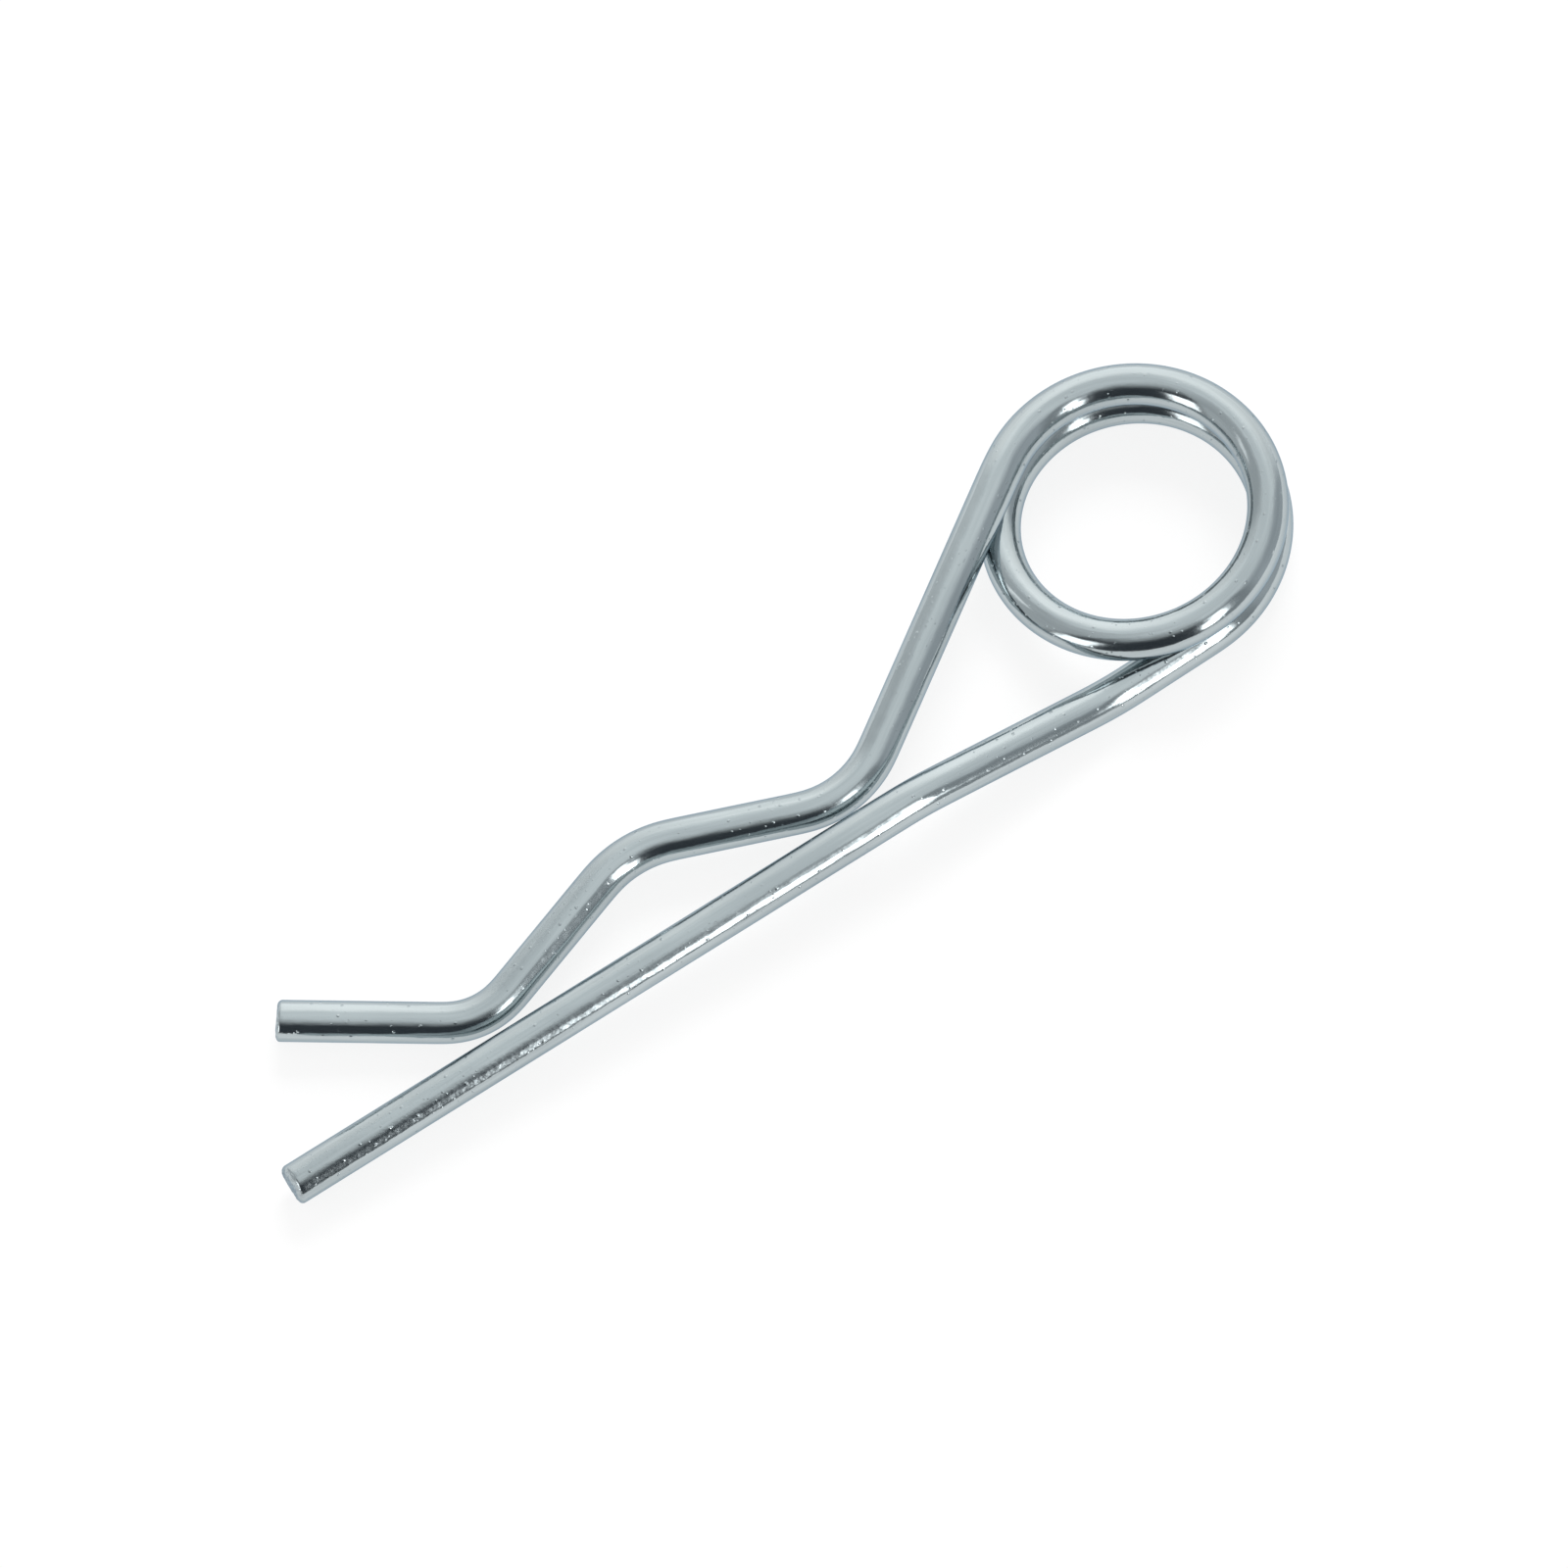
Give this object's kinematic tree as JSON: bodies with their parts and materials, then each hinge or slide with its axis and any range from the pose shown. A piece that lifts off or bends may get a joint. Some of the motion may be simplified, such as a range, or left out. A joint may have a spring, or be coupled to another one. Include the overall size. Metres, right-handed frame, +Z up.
{
  "type": "hitch r clip pin",
  "caption": "Spring clip bent from one round wire: a round coiled eye, a long straight leg for a pin's cross hole and a wavy leg whose hump grips the shaft.",
  "frame": {"origin": "on the surface the clip lies on, under the middle of its box", "axes": "+X along the clip from the tips of its legs to the coil, +Y across it from the straight leg to the wavy leg, +Z up off the surface"},
  "size_m": [0.1174, 0.0306, 0.0092],
  "materials": {
    "zinc_wire": "bright zinc plate, satin"
  },
  "bodies": {
    "root": {"clip": "zinc_wire"}
  },
  "joints": []
}
